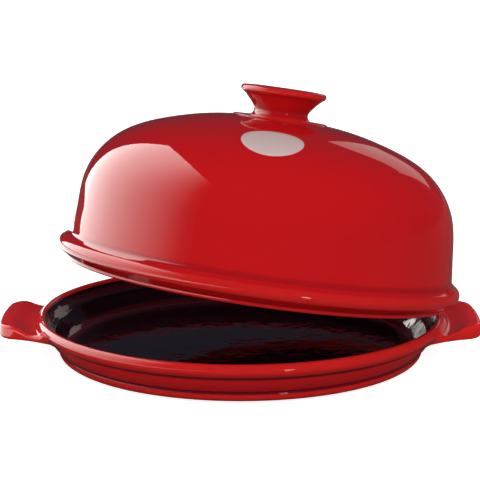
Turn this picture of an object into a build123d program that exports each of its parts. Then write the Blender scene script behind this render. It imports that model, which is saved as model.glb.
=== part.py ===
from build123d import *
from math import cos, hypot, pi, radians, sin, sqrt
import os

# A round bread cloche: a shallow glazed dish with two ear handles, and a domed
# lid with a trumpet knob. The lid is shown as it stands propped open, its lip
# on the back right of the rim, so its pieces are built about a leaning axis.
# The origin is the centre of the dish's foot on the table, +Z is up, +X runs
# along the handles, and the front is -Y. Sizes are millimetres and degrees.

# The dish
rim_radius = 141.2          # centre line of the rounded crest
rim_height = 31.3           # top of the crest above the table
crest_thickness = 5.0
rim_bulge = 3.2             # the rim band's widest circle lies this far outside the crest line
rim_bulge_drop = 4.8        # and this far below the crest
rim_band_height = 10.3      # from the upper groove to the crest
rim_underside_run = 4.3     # from the upper groove out to the band's lower corner
rim_underside_rise = 1.5
neck_inset = 3.5            # the upper groove lies this far inside the crest line
wall_spread = 10.7          # how far the wall opens out from its lower edge to the upper groove
groove_depth = 1.2          # lower groove
band_bulge = 0.8            # crown of each band between the grooves
foot_inset = 10.0           # the foot ring stands this far inside the wall's lower edge
foot_ring_width = 9.0
foot_height = 2.6
foot_recess = 1.4           # the underside within the foot ring is this far off the table
floor_thickness = 5.6
wall_thickness = 4.7
floor_corner_radius = 9.0
groove_softness = 1.2       # rounding at the bottom of each groove
lower_edge_radius = 1.8

# The two ear handles, moulded in one with the dish
handle_length = 25.6        # out from the rim band
handle_drop = 12.0          # from the crest down to the handles' underside
handle_tip_thickness = 9.9
handle_valley_thickness = 4.7
handle_valley_run = 5.2     # from the rim band out to the lowest ring of the top face
handle_brow_run = 6.0       # from the end in to the highest ring of the top face
handle_end_width = 74.0
handle_waist_width = 88.0
handle_root_width = 123.0   # where the handles leave the crest's inner circle, under the rim
handle_end_bow = 3.0
handle_corner_radius = 14.0
handle_edge_radius = 2.2

# The lid, with heights measured from the widest circle of its flange
flange_overhang = 1.3       # beyond the crest line of the rim
flange_shoulder_inset = 2.9
flange_shoulder_height = 5.7
flange_chin_inset = 1.4
flange_chin_drop = 2.9
flange_fillet_radius = 2.0  # where the flange meets the wall
lip_root_drop = 7.4
lip_length = 2.6            # from its root down to its lower edge
lip_gap = 4.2               # between the lip and the inside of the crest, with the lid down
lip_edge_radius = 2.0
lid_wall_inset = 5.3        # the lid's wall starts this far inside the crest line
lid_wall_foot = 8.9
lid_wall = 5.8
lid_wall_draft = 5.0        # degrees
dome_height = 105.7
knob_seat_radius = 33.0     # low round boss that carries the knob
knob_seat_rise = 0.2
knob_seat_softness = 0.6

# The knob
knob_foot_radius = 21.4
knob_neck_radius = 19.2
knob_neck_height = 3.2      # above its seat
knob_stem_height = 16.1     # from its seat to the underside of the disc
knob_disc_radius = 30.2
knob_disc_thickness = 4.8
knob_chin_inset = 1.8       # lower edge of the disc's rounded side
knob_brow_inset = 2.6       # upper edge of the disc's rounded side
knob_crown = 0.5            # rise of the disc's top

# The dark glaze coats inside, and the plain oval mark on the dome
glaze_thickness = 0.6
lining_foot_drop = 3.0      # the lid's dark coat ends this far below the flange's widest circle
mark_length = 42.0
mark_width = 38.6
mark_thickness = 0.3
mark_turn = -129.8          # degrees round the lid's axis, from the side that rests
mark_roll = 11.0            # degrees, about the mark's own middle

# How the lid stands
lean_angle = 9.99           # degrees from level
lean_azimuth = 36.0         # degrees from +X to the side that rests on the rim
lid_shift_x = 12.95         # the lid's middle, off the dish's axis
lid_shift_y = -5.37
lip_rest_gap = 0.85         # between the lip's lower edge and the crest

# Shares: the dome's outline as shares of its radius and height, from the wall
# up, the lower groove's place on the dish's wall, and what the names say
dome_radius_shares = (0.986, 0.949, 0.818, 0.576, 0.288)
dome_height_shares = (0.246, 0.520, 0.757, 0.908, 0.988)
lower_groove_share = 0.31
mark_place_share = 0.538    # the mark's middle along the dome's outline, from the wall's foot
knob_flare_shares = (0.435, 0.605)    # out from the neck to the disc, and up
knob_edge_share = 0.54      # the disc's widest circle, up its thickness
round_limit_share = 0.45    # a rounded edge takes at most this share of its wall
corner_limit_share = 0.8    # a rounded corner takes at most this share of its shorter side
turn_steps = 720            # places round the lip where its gap is measured
search_steps = 40           # halvings when the lid is let down onto the rim

# Sizes of the dish that follow
crest_radius = crest_thickness / 2
crest_level = rim_height - crest_radius
crest_inside = rim_radius - crest_radius
neck_radius = rim_radius - neck_inset
neck_level = rim_height - rim_band_height
floor_level = foot_recess + floor_thickness
base_radius = neck_radius - wall_spread
foot_radius = base_radius - foot_inset
foot_inside = foot_radius - foot_ring_width
wall_rise = neck_level - foot_height
wall_length = hypot(wall_spread, wall_rise)
wall_width = wall_thickness * wall_length / wall_rise     # measured level, across the sloping wall


def wall_point(share, bulge):
    """A place on the dish's outer wall, from its lower edge to the upper groove."""
    radius = base_radius + wall_spread * share + bulge * wall_rise / wall_length
    height = foot_height + wall_rise * share - bulge * wall_spread / wall_length
    return (radius, height)


def corner_near(point):
    """The corner of the sketch in work that lies nearest to a point."""
    return vertices().sort_by_distance(point)[0]


def draw_hollow(coat):
    """The inside of the dish, from its middle up to the crest; the clay lies a coat behind the glaze."""
    floor = floor_level - coat
    corner = (base_radius - wall_width + wall_spread / wall_rise * (floor - foot_height) + coat, floor)
    throat = (neck_radius - wall_width + coat, neck_level)
    end = (crest_inside + coat, crest_level)
    belly = ((throat[0] + end[0] + crest_radius / 2) / 2, (throat[1] + end[1] - crest_radius / 2) / 2)
    FilletPolyline((0, floor), corner, throat, radius=floor_corner_radius + coat)
    ThreePointArc(throat, belly, end)
    return end


# The handles: cut to their plan, then to a ring whose section is their side view
band_radius = rim_radius + rim_bulge
handle_reach = band_radius + handle_length
handle_underside = rim_height - handle_drop
root_x = sqrt(crest_inside**2 - (handle_root_width / 2) ** 2)
heel_x = root_x - neck_inset - wall_width
handle_round = min(handle_edge_radius, handle_valley_thickness * round_limit_share)


def on_outline(edge):
    """True for an edge that follows a handle's open side or end; the upright ones are left out."""
    box = edge.bounding_box()
    return box.max.X > band_radius and box.size.X > box.size.Z


with BuildPart() as handles:
    with BuildSketch(Plane.XY.offset(handle_underside)) as handle_plan:
        with BuildLine():
            root = (root_x, handle_root_width / 2)
            waist = (band_radius, handle_waist_width / 2)
            shoulder = (handle_reach - handle_end_bow, handle_end_width / 2)
            ThreePointArc(root, waist, shoulder)
            ThreePointArc(shoulder, (handle_reach, 0), (shoulder[0], -shoulder[1]))
            ThreePointArc((shoulder[0], -shoulder[1]), (waist[0], -waist[1]), (root[0], -root[1]))
            Polyline((root[0], -root[1]), (heel_x, -root[1]), (heel_x, root[1]), root)
        make_face()
        fillet([corner_near(shoulder), corner_near((shoulder[0], -shoulder[1]))], handle_corner_radius)
    extrude(amount=rim_height)
    fillet(edges().group_by(Axis.Z)[0].filter_by(on_outline), handle_round)
    with BuildSketch(Plane.YZ) as handle_section:
        with BuildLine():
            tip = (handle_reach, handle_underside + handle_tip_thickness)
            brow = (handle_reach - handle_brow_run, handle_underside + handle_tip_thickness)
            valley = (band_radius + handle_valley_run, handle_underside + handle_valley_thickness)
            crest_core = (rim_radius, crest_level)
            heel = (neck_radius - wall_width / 2, handle_underside)
            Polyline(crest_core, heel, (handle_reach, handle_underside), tip)
            Spline(tip, brow, valley, crest_core, tangents=((-1, 0), (-1, 0), (-1, 0), (-1, 1)))
        make_face()
    revolve(axis=Axis.Z, mode=Mode.INTERSECT)
    upper_edges = edges().filter_by(lambda edge: edge.center().Z > handle_underside + handle_round)
    fillet(upper_edges.filter_by(on_outline), handle_round)
    mirror(about=Plane.YZ)

# The dish
with BuildPart() as base_dish:
    with BuildSketch(Plane.XZ) as dish_section:
        with BuildLine():
            lower_edge = wall_point(0, 0)
            lower_groove = wall_point(lower_groove_share, -groove_depth)
            neck = wall_point(1, 0)
            band_corner = (neck_radius + rim_underside_run, neck_level + rim_underside_rise)
            band_side = (band_radius, rim_height - rim_bulge_drop)
            crest = (rim_radius, rim_height)
            Polyline(
                (0, crest_level),
                (0, foot_recess),
                (foot_inside, foot_recess),
                (foot_inside, 0),
                (foot_radius, 0),
                (foot_radius, foot_height),
                lower_edge,
            )
            ThreePointArc(lower_edge, wall_point(lower_groove_share / 2, band_bulge), lower_groove)
            ThreePointArc(lower_groove, wall_point((1 + lower_groove_share) / 2, band_bulge), neck)
            Line(neck, band_corner)
            Spline(band_corner, band_side, crest, tangents=((1, 1), (-1, 0)))
            JernArc(crest, (-1, 0), crest_radius, 90)
            Line((crest_inside, crest_level), (0, crest_level))
        make_face()
        fillet([corner_near(neck), corner_near(lower_groove)], groove_softness)
        fillet(corner_near(lower_edge), lower_edge_radius)
    revolve(axis=Axis.Z)
    add(handles.part)
    with BuildSketch(Plane.XZ) as dish_hollow:
        with BuildLine():
            hollow_end = draw_hollow(glaze_thickness)
            Polyline(
                hollow_end,
                (crest_inside, crest_level),
                (crest_inside, rim_height),
                (0, rim_height),
                (0, floor_level - glaze_thickness),
            )
        make_face()
    revolve(axis=Axis.Z, mode=Mode.SUBTRACT)
base_dish.part.label = "base_dish"

# The dish's dark glaze coat, between the clay and the finished inside
with BuildPart() as dish_lining:
    with BuildSketch(Plane.XZ) as dish_coat:
        with BuildLine():
            clay_end = draw_hollow(glaze_thickness)
            Polyline(clay_end, (0, crest_level), (0, floor_level - glaze_thickness))
        make_face()
        with BuildLine():
            glaze_end = draw_hollow(0)
            Polyline(glaze_end, (0, crest_level), (0, floor_level))
        make_face(mode=Mode.SUBTRACT)
    revolve(axis=Axis.Z)
dish_lining.part.label = "dish_lining"

# Sizes of the lid that follow
lip_radius = crest_inside - lip_gap
flange_radius = rim_radius + flange_overhang
lid_radius = rim_radius - lid_wall_inset
lid_inside = lid_radius - lid_wall
lip_drop = lip_root_drop + lip_length
lip_thickness = lip_radius - lid_inside
lip_round = min(lip_edge_radius, lip_thickness * round_limit_share, lip_length * corner_limit_share)
knob_seat_level = dome_height + knob_seat_rise


def lean(x, y, z):
    """A direction given in the lid's own frame, turned as the lid leans; x points to the side that rests."""
    tilt = radians(lean_angle)
    out = x * cos(tilt) + z * sin(tilt)
    turn = radians(lean_azimuth)
    rise = z * cos(tilt) - x * sin(tilt)
    return Vector(out * cos(turn) - y * sin(turn), out * sin(turn) + y * cos(turn), rise)


def lip_clearance(level):
    """How far the lip's lower edge stays off the rim's crest when the lid's middle is at a level."""
    gaps = []
    for step in range(turn_steps):
        angle = 2 * pi * step / turn_steps
        ring = lip_radius - lip_round
        place = lean(ring * cos(angle), ring * sin(angle), lip_round - lip_drop)
        radius = hypot(place.X + lid_shift_x, place.Y + lid_shift_y)
        gaps.append(hypot(radius - rim_radius, place.Z + level - crest_level))
    return min(gaps) - lip_round - crest_radius


def resting_level():
    """The height of the lid's middle at which its lip is let down to the rest gap."""
    low = crest_level + lip_drop
    high = low + lip_radius
    for _ in range(search_steps):
        middle = (low + high) / 2
        if lip_clearance(middle) > lip_rest_gap:
            high = middle
        else:
            low = middle
    return high


lid_middle = Vector(lid_shift_x, lid_shift_y, resting_level())
lid_axis = Axis(lid_middle, lean(0, 0, 1))
lid_section = Plane(origin=lid_middle, x_dir=lean(1, 0, 0), z_dir=lean(0, -1, 0))


def draw_dome(radius, height):
    """One face of the lid, from the foot of its wall up to the crown."""
    draft = radians(lid_wall_draft)
    points = [(radius * across, height * up) for across, up in zip(dome_radius_shares, dome_height_shares)]
    foot = (radius, lid_wall_foot)
    Spline(foot, *points, (0, height), tangents=((-sin(draft), cos(draft)), (-1, 0)))


# The lid's clay: dome, wall, flange and lip, with a low boss for the knob
with BuildPart() as lid_dome:
    with BuildSketch(lid_section) as dome_section:
        with BuildLine():
            draw_dome(lid_radius, dome_height)
            wall_foot = (lid_radius, lid_wall_foot)
            shoulder = (flange_radius - flange_shoulder_inset, flange_shoulder_height)
            chin = (flange_radius - flange_chin_inset, -flange_chin_drop)
            lip_root = (lip_radius, -lip_root_drop)
            lip_outside = (lip_radius, -lip_drop)
            lip_inside = (lid_inside, -lip_drop)
            Line(wall_foot, shoulder)
            ThreePointArc(shoulder, (flange_radius, 0), chin)
            Polyline(
                chin,
                lip_root,
                lip_outside,
                lip_inside,
                (lid_inside, -lining_foot_drop),
                (lid_inside + glaze_thickness, -lining_foot_drop),
                (lid_inside + glaze_thickness, lid_wall_foot),
            )
            draw_dome(lid_inside + glaze_thickness, dome_height - lid_wall + glaze_thickness)
            Line((0, dome_height - lid_wall + glaze_thickness), (0, dome_height))
        make_face()
        fillet([corner_near(lip_outside), corner_near(lip_inside)], lip_round)
        fillet(corner_near(wall_foot), flange_fillet_radius)
    revolve(axis=lid_axis)
    with BuildSketch(lid_section) as seat_section:
        with BuildLine():
            seat_edge = (knob_seat_radius, knob_seat_level)
            Polyline(
                (0, knob_seat_level),
                seat_edge,
                (knob_seat_radius, dome_height - lid_wall / 2),
                (0, dome_height - lid_wall / 2),
                close=True,
            )
        make_face()
        fillet(corner_near(seat_edge), knob_seat_softness)
    revolve(axis=lid_axis)
lid_dome.part.label = "lid_dome"

# The lid's dark glaze coat
with BuildPart() as lid_lining:
    with BuildSketch(lid_section) as lid_coat:
        with BuildLine():
            Polyline(
                (lid_inside, lid_wall_foot),
                (lid_inside, -lining_foot_drop),
                (lid_inside + glaze_thickness, -lining_foot_drop),
                (lid_inside + glaze_thickness, lid_wall_foot),
            )
            draw_dome(lid_inside + glaze_thickness, dome_height - lid_wall + glaze_thickness)
            Line((0, dome_height - lid_wall + glaze_thickness), (0, dome_height - lid_wall))
            draw_dome(lid_inside, dome_height - lid_wall)
        make_face()
    revolve(axis=lid_axis)
lid_lining.part.label = "lid_lining"

# The knob: a trumpet that flares from its neck to a flat disc
with BuildPart() as lid_knob:
    with BuildSketch(lid_section) as knob_section:
        with BuildLine():
            flare_out, flare_up = knob_flare_shares
            disc_level = knob_seat_level + knob_stem_height
            brow_level = disc_level + knob_disc_thickness
            knob_foot = (knob_foot_radius, knob_seat_level)
            knob_neck = (knob_neck_radius, knob_seat_level + knob_neck_height)
            knob_chin = (knob_disc_radius - knob_chin_inset, disc_level)
            knob_flare = (
                knob_neck[0] + flare_out * (knob_chin[0] - knob_neck[0]),
                knob_neck[1] + flare_up * (knob_chin[1] - knob_neck[1]),
            )
            knob_edge = (knob_disc_radius, disc_level + knob_edge_share * knob_disc_thickness)
            knob_brow = (knob_disc_radius - knob_brow_inset, brow_level)
            knob_top = (0, brow_level + knob_crown)
            Spline(knob_foot, knob_neck, knob_flare, knob_chin)
            ThreePointArc(knob_chin, knob_edge, knob_brow)
            Spline(knob_brow, knob_top, tangents=((-1, 0), (-1, 0)))
            Polyline(knob_top, (0, knob_seat_level), knob_foot)
        make_face()
    revolve(axis=lid_axis)
lid_knob.part.label = "lid_knob"

# The plain oval mark: a thin skin of the dome's own curve, cut to an oval
with BuildLine() as dome_outline:
    draw_dome(lid_radius, dome_height)
mark_place = dome_outline.line @ mark_place_share
mark_along = dome_outline.line % mark_place_share
mark_around = radians(mark_turn)
across, aside = cos(mark_around), sin(mark_around)
mark_middle = lid_middle + lean(mark_place.X * across, mark_place.X * aside, mark_place.Y)
mark_normal = lean(mark_along.Y * across, mark_along.Y * aside, -mark_along.X)
mark_side = lean(-aside, across, 0)
mark_plane = Plane(origin=mark_middle, x_dir=mark_side, z_dir=mark_normal).rotated((0, 0, mark_roll))

with BuildPart() as mark_oval:
    with BuildSketch(lid_section) as mark_skin:
        with BuildLine():
            draw_dome(lid_radius, dome_height)
            Line((0, dome_height), (0, dome_height + mark_thickness))
            draw_dome(lid_radius + mark_thickness, dome_height + mark_thickness)
            Line((lid_radius + mark_thickness, lid_wall_foot), (lid_radius, lid_wall_foot))
        make_face()
    revolve(axis=lid_axis)
    with BuildSketch(mark_plane) as mark_outline:
        Ellipse(mark_length / 2, mark_width / 2)
    extrude(amount=lid_wall, both=True, mode=Mode.INTERSECT)
mark_oval.part.label = "mark_oval"

# One file for each piece
os.makedirs("parts", exist_ok=True)
export_step(base_dish.part, "parts/base_dish.step")
export_step(dish_lining.part, "parts/dish_lining.step")
export_step(lid_dome.part, "parts/lid_dome.step")
export_step(lid_lining.part, "parts/lid_lining.step")
export_step(lid_knob.part, "parts/lid_knob.step")
export_step(mark_oval.part, "parts/mark_oval.step")
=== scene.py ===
"""A glazed stoneware bread cloche.

A shallow dish with two ear handles, and a domed lid that stands propped open on its rim.
"""

import logging
from dataclasses import dataclass
from enum import Enum
from math import cos, hypot, pi, radians, sin, sqrt
from typing import Union

import bpy
import numpy as np
from mathutils import Color, Matrix, Vector


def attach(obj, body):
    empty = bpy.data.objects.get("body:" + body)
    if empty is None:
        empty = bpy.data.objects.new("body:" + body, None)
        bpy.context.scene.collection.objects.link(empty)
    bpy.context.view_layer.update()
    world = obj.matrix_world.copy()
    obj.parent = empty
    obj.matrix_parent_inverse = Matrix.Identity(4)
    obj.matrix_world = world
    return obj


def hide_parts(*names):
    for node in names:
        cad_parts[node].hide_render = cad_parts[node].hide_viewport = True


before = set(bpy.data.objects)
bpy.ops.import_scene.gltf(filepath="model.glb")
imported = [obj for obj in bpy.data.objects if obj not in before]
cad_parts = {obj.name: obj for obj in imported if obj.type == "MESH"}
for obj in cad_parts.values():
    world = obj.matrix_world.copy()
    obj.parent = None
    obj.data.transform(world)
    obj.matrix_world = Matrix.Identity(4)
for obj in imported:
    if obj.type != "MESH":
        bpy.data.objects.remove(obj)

MM = 0.001
SAME_PLACE = 1e-4
ON_THE_LINE = 1e-5
NO_LENGTH = 1e-9
LOG = logging.getLogger("bread_cloche")

Point = tuple[float, float]
Place = tuple[float, float, float]
Colour = tuple[float, float, float]
Faces = list[tuple[int, ...]]
Field = tuple[np.ndarray, np.ndarray]
Feed = Union[bpy.types.NodeSocket, float, tuple[float, ...]]


class Body(Enum):
    """The two bodies that come apart."""

    DISH = "base"
    LID = "lid"


class Slot(Enum):
    """The record's material slots."""

    OUTER = "outer_glaze"
    INNER = "inner_glaze"
    MARK = "mark"


# Outlines, in millimetres


def arc(start: Point, through: Point, end: Point, count: int = 24) -> np.ndarray:
    """A circular arc through three points.

    Args:
        start: Its first point.
        through: A point on it.
        end: Its last point.
        count: How many points it gets.

    Returns:
        The points, one row each.
    """
    a, b, c = (np.array(p, float) for p in (start, through, end))
    rows = 2 * np.array([b - a, c - b])
    centre = np.linalg.solve(rows, np.array([b @ b - a @ a, c @ c - b @ b]))
    turns = np.unwrap([np.arctan2(*(p - centre)[::-1]) for p in (a, b, c)])
    angles = np.linspace(turns[0], turns[-1], count)
    return centre + np.hypot(*(a - centre)) * np.stack([np.cos(angles), np.sin(angles)], axis=1)


def lengths(outline: np.ndarray) -> np.ndarray:
    """How far along an outline each of its points lies."""
    return np.r_[0, np.cumsum(np.hypot(*np.diff(outline, axis=0).T))]


def sampled(outline: np.ndarray, places: np.ndarray) -> np.ndarray:
    """The points that lie at given lengths along an outline."""
    return np.stack([np.interp(places, lengths(outline), outline[:, k]) for k in (0, 1)], axis=-1)


def curve(points: list[Point], start: Point, end: Point, count: int = 60) -> np.ndarray:
    """A smooth curve through points, with its direction given at both ends.

    Args:
        points: The points it goes through.
        start: Its direction at the first point.
        end: Its direction at the last point.
        count: How many points the curve gets.

    Returns:
        The points, one row each.
    """
    knots = np.array(points, float)
    along = lengths(knots)
    gaps = np.diff(along)
    system = np.eye(len(knots))
    slopes = np.zeros_like(knots)
    slopes[0], slopes[-1] = start / np.hypot(*start), end / np.hypot(*end)
    for i in range(1, len(knots) - 1):
        before, after = gaps[i - 1], gaps[i]
        system[i, i - 1:i + 2] = after, 2 * (before + after), before
        come, go = (knots[i] - knots[i - 1]) / before, (knots[i + 1] - knots[i]) / after
        slopes[i] = 3 * (after * come + before * go)
    slopes = np.linalg.solve(system, slopes)
    places = np.linspace(0, along[-1], count)
    i = np.clip(np.searchsorted(along, places, side="right") - 1, 0, len(gaps) - 1)
    width = gaps[i][:, None]
    t = (places[:, None] - along[i][:, None]) / width
    near = (2 * t**3 - 3 * t**2 + 1) * knots[i] + (t**3 - 2 * t**2 + t) * width * slopes[i]
    far = (3 * t**2 - 2 * t**3) * knots[i + 1] + (t**3 - t**2) * width * slopes[i + 1]
    return near + far


def rounded(corner: Point, before: Point, after: Point, radius: float, count: int = 9) -> np.ndarray:
    """The arc that rounds a corner between two straight runs.

    Args:
        corner: The sharp corner.
        before: A point on the run that comes in.
        after: A point on the run that goes out.
        radius: The arc's radius.
        count: How many points it gets.

    Returns:
        The points, one row each.
    """
    tip, a, b = (np.array(p, float) for p in (corner, before, after))
    into, out = (a - tip) / np.hypot(*(a - tip)), (b - tip) / np.hypot(*(b - tip))
    half = np.arccos(np.clip(into @ out, -1, 1)) / 2
    reach = radius / np.tan(half)
    middle = tip + (into + out) / np.hypot(*(into + out)) * radius / np.sin(half)
    nearest = middle + (tip - middle) / np.hypot(*(tip - middle)) * radius
    return arc(tuple(tip + into * reach), tuple(nearest), tuple(tip + out * reach), count)


def chain(*runs: np.ndarray | list[Point]) -> np.ndarray:
    """Joins runs of points into one outline, and leaves out points that repeat.

    Args:
        *runs: The runs in order, each with one row or pair a point.

    Returns:
        The outline's points, one row each.
    """
    points = np.vstack([np.atleast_2d(np.array(run, float)) for run in runs])
    steps = np.hypot(*np.diff(points, axis=0).T)
    return points[np.r_[True, steps > SAME_PLACE]]


def spaced(outline: np.ndarray, count: int) -> np.ndarray:
    """The same outline with a number of points at even steps along it."""
    return sampled(outline, np.linspace(0, lengths(outline)[-1], count))


def refined(outline: np.ndarray, step: float) -> np.ndarray:
    """The same outline with points added on its long runs.

    Args:
        outline: The points, one row each.
        step: The longest run that is left.

    Returns:
        The points, with every given one kept.
    """
    runs = [outline[:1]]
    for a, b in zip(outline[:-1], outline[1:]):
        count = max(1, int(np.ceil(np.hypot(*(b - a)) / step)))
        runs.append(a + (b - a) * np.arange(1, count + 1)[:, None] / count)
    return np.vstack(runs)


def hollows(outline: np.ndarray, reach: float = 2.4) -> np.ndarray:
    """How far each point lies in a hollow of the outline, where glaze pools and where the dish's glaze paints
    shade.

    Args:
        outline: The points, one row each, with the body on the left.
        reach: How far along the outline its neighbours are taken.

    Returns:
        One value a point: above 0 in a groove, below 0 on an edge, in millimetres.
    """
    along = lengths(outline)
    before, after = (sampled(outline, np.clip(along + way * reach, 0, along[-1])) for way in (-1, 1))
    run = after - before
    length = np.maximum(np.hypot(*run.T), NO_LENGTH)
    away = before + after - 2 * outline
    return (run[:, 1] * away[:, 0] - run[:, 0] * away[:, 1]) / (2 * length)


# Meshes


def mesh_object(name: str, points: np.ndarray, faces: Faces, depth: np.ndarray) -> bpy.types.Object:
    """A smooth mesh in the scene.

    Args:
        name: The piece's name.
        points: Its points in millimetres, one row each.
        faces: The points of each face.
        depth: How deep each point lies in a hollow, for the glaze.

    Returns:
        The object, in metres.
    """
    mesh = bpy.data.meshes.new(name)
    mesh.from_pydata((points * MM).tolist(), [], faces)
    mesh.attributes.new("hollow", "FLOAT", "POINT").data.foreach_set("value", depth.astype(np.float32))
    mesh.polygons.foreach_set("use_smooth", np.ones(len(faces), bool))
    mesh.update()
    piece = bpy.data.objects.new(name, mesh)
    bpy.context.scene.collection.objects.link(piece)
    return piece


def ring(radius: float | np.ndarray, height: float | np.ndarray, angles: np.ndarray) -> np.ndarray:
    """A ring of points round the upright axis; radius and height may differ for each angle."""
    return np.column_stack([radius * np.cos(angles), radius * np.sin(angles), height * np.ones(len(angles))])


def ring_faces(rings: int, turns: int) -> Faces:
    """The faces between neighbouring rings of points that go round an axis.

    Args:
        rings: How many rings there are.
        turns: How many points each ring has.

    Returns:
        The faces, each as four point numbers.
    """
    faces = []
    for low in range(0, (rings - 1) * turns, turns):
        high = low + turns
        for j in range(turns):
            k = (j + 1) % turns
            faces.append((low + j, low + k, high + k, high + j))
    return faces


def ring_mesh(name: str, rings: list[np.ndarray], ends: Point, depth: np.ndarray) -> bpy.types.Object:
    """A closed piece of rings round the upright axis, with each end drawn in to a point on the axis.

    Args:
        name: The piece's name.
        rings: The rings in order, with the body on the left.
        ends: The heights of the points that close its start and its end.
        depth: How deep the start, each ring and the end lie in a hollow.

    Returns:
        The object.
    """
    turns = len(rings[0])
    top = (len(rings) - 1) * turns
    start = len(rings) * turns
    faces = ring_faces(len(rings), turns)
    faces += [((j + 1) % turns, j, start) for j in range(turns)]
    faces += [(top + j, top + (j + 1) % turns, start + 1) for j in range(turns)]
    points = np.vstack([*rings, *((0, 0, height) for height in ends)])
    return mesh_object(name, points, faces, np.r_[np.repeat(depth[1:-1], turns), depth[0], depth[-1]])


def turned(name: str, outline: np.ndarray, turns: int) -> bpy.types.Object:
    """A piece turned on a wheel: its outline taken round the upright axis.

    Args:
        name: The piece's name.
        outline: Points (radius, height) with the body on the left; the first and last are on the axis.
        turns: How many points go round.

    Returns:
        The object.
    """
    angles = np.linspace(0, 2 * pi, turns, endpoint=False)
    rings = [ring(radius, height, angles) for radius, height in outline[1:-1]]
    return ring_mesh(name, rings, (outline[0, 1], outline[-1, 1]), hollows(outline))


# Distances, for the soft joints between the dish and its handles


def outline_distance(places: np.ndarray, outline: np.ndarray) -> Field:
    """How far places lie from a closed outline.

    Args:
        places: Points in the outline's plane, one row each.
        outline: The outline's corners in order.

    Returns:
        The distances, below 0 inside, and their directions of growth.
    """
    step = np.roll(outline, -1, axis=0) - outline
    away = places[:, None, :] - outline[None]
    share = np.clip((away * step).sum(-1) / (step**2).sum(-1), 0, 1)
    gap = away - share[..., None] * step
    nearest = np.hypot(gap[..., 0], gap[..., 1]).argmin(axis=1)
    rows = np.arange(len(places))
    gap, side = gap[rows, nearest], step[nearest]
    above, next_above = away[..., 1] >= 0, away[..., 1] - step[:, 1] >= 0
    left = step[:, 0] * away[..., 1] - step[:, 1] * away[..., 0] > 0
    winding = (above & ~next_above & left).sum(1) - (~above & next_above & ~left).sum(1)
    sign = np.where(winding != 0, -1.0, 1.0)
    length = np.hypot(*gap.T)
    normal = np.stack([side[:, 1], -side[:, 0]], axis=1) / np.hypot(*side.T)[:, None]
    outward = sign[:, None] * gap / np.maximum(length, NO_LENGTH)[:, None]
    return sign * length, np.where((length < ON_THE_LINE)[:, None], normal, outward)


def shared(a: Field, b: Field, radius: float) -> Field:
    """Where two bodies overlap, with the edge between them rounded.

    Args:
        a: The first body's distances and their directions of growth.
        b: The second body's.
        radius: The rounded edge's radius.

    Returns:
        The distances from what both bodies fill, and their directions of growth.
    """
    ua, ub = np.maximum(radius + a[0], 0), np.maximum(radius + b[0], 0)
    length = np.maximum(np.hypot(ua, ub), NO_LENGTH)
    deeper = np.maximum(a[0], b[0])
    flat = deeper < -radius
    value = np.where(flat, deeper, length - radius)
    wa = np.where(flat, a[0] > b[0], ua / length)
    wb = np.where(flat, a[0] <= b[0], ub / length)
    return value, wa[:, None] * a[1] + wb[:, None] * b[1]


def joined(a: Field, b: Field, radius: float) -> Field:
    """Two bodies as one, with the hollow between them filled by a soft fillet."""
    value, grow = shared((-a[0], -a[1]), (-b[0], -b[1]), radius)
    return -value, -grow


# Shader nodes

MIX_SHARE = 0
MIX_FIRST = 6
MIX_SECOND = 7
MIX_COLOUR = 2


def add_node(tree: bpy.types.NodeTree, kind: str, feeds: dict[str | int, Feed],
             **settings: object) -> bpy.types.Node:
    """Adds a node and connects it.

    Args:
        tree: The node tree.
        kind: The node's type, without its leading "ShaderNode".
        feeds: What each input gets: a socket, or a plain value.
        **settings: The node's own settings.

    Returns:
        The node.
    """
    node = tree.nodes.new("ShaderNode" + kind)
    for key, value in settings.items():
        setattr(node, key, value)
    for key, value in feeds.items():
        if isinstance(value, bpy.types.NodeSocket):
            tree.links.new(value, node.inputs[key])
        else:
            node.inputs[key].default_value = value
    return node


def sum_of(tree: bpy.types.NodeTree, operation: str, first: Feed, second: Feed) -> bpy.types.NodeSocket:
    """Works out one value from two."""
    return add_node(tree, "Math", {0: first, 1: second}, operation=operation).outputs[0]


def mixed(tree: bpy.types.NodeTree, share: Feed, first: Feed, second: Feed) -> bpy.types.NodeSocket:
    """Blends two colours: the first alone at a share of 0, the second alone at 1."""
    feeds = {MIX_SHARE: share, MIX_FIRST: first, MIX_SECOND: second}
    return add_node(tree, "Mix", feeds, data_type="RGBA").outputs[MIX_COLOUR]


def eased(tree: bpy.types.NodeTree, value: Feed, start: Feed, end: Feed,
          lowest: float = 0.0) -> bpy.types.NodeSocket:
    """Brings a value softly from lowest, where it is at its start, to 1, where it is at its end."""
    feeds = {"Value": value, "From Min": start, "From Max": end, "To Min": lowest}
    return add_node(tree, "MapRange", feeds, interpolation_type="SMOOTHSTEP").outputs["Result"]


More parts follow.
